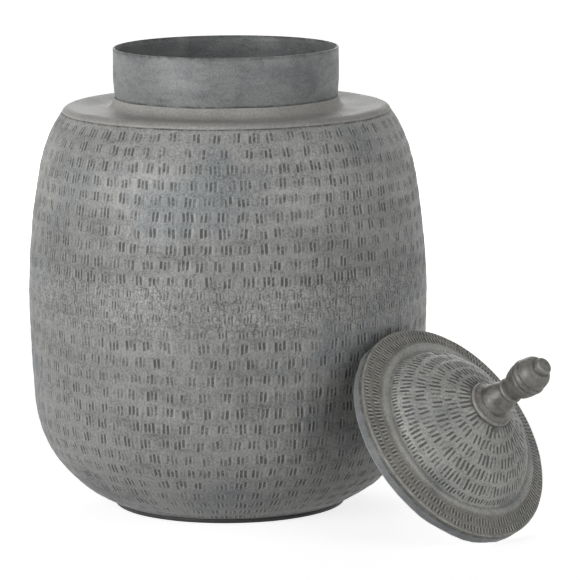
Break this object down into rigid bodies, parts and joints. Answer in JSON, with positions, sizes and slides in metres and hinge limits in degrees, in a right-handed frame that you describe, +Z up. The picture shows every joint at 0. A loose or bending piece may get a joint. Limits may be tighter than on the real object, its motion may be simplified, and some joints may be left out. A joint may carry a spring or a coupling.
{
  "type": "lidded metal jar",
  "caption": "Round-bellied jar of hammered grey sheet metal with a short straight neck; its domed lid with an acorn finial is off and leans on the belly.",
  "frame": {"origin": "centre of the jar's underside, on the jar's axis, at the level it stands on", "axes": "+Z up along the jar's axis; the lid leans at the front right, towards +X and -Y"},
  "size_m": [0.381, 0.3511, 0.346],
  "materials": {
    "hammered_sheet": "weathered zinc grey, rows of short chisel marks",
    "smooth_sheet": "smooth matte grey",
    "neck_sheet": "smooth bluish grey with dark mottling",
    "foot_metal": "dark, dull",
    "lid_sheet": "weathered grey, rows of short chisel marks",
    "cast_knob": "smooth cast, satin grey",
    "fastener_steel": "plain zinc-plated steel"
  },
  "bodies": {
    "vessel": {"belly_lower_shell": "hammered_sheet", "belly_upper_shell": "hammered_sheet", "shoulder_plate": "smooth_sheet", "neck_collar": "neck_sheet", "foot_ring": "foot_metal", "base_plate": "foot_metal"},
    "lid": {"lid_cover": "lid_sheet", "lid_rim_band": "lid_sheet", "finial": "cast_knob", "finial_stud": "fastener_steel", "lid_washer": "fastener_steel", "lid_nut": "fastener_steel"}
  },
  "joints": [
    {"name": "lid_lift", "type": "slide", "parent": "vessel", "child": "lid", "axis": [0.6138, -0.5336, 0.5818], "range_m": [0, 0.2]}
  ]
}
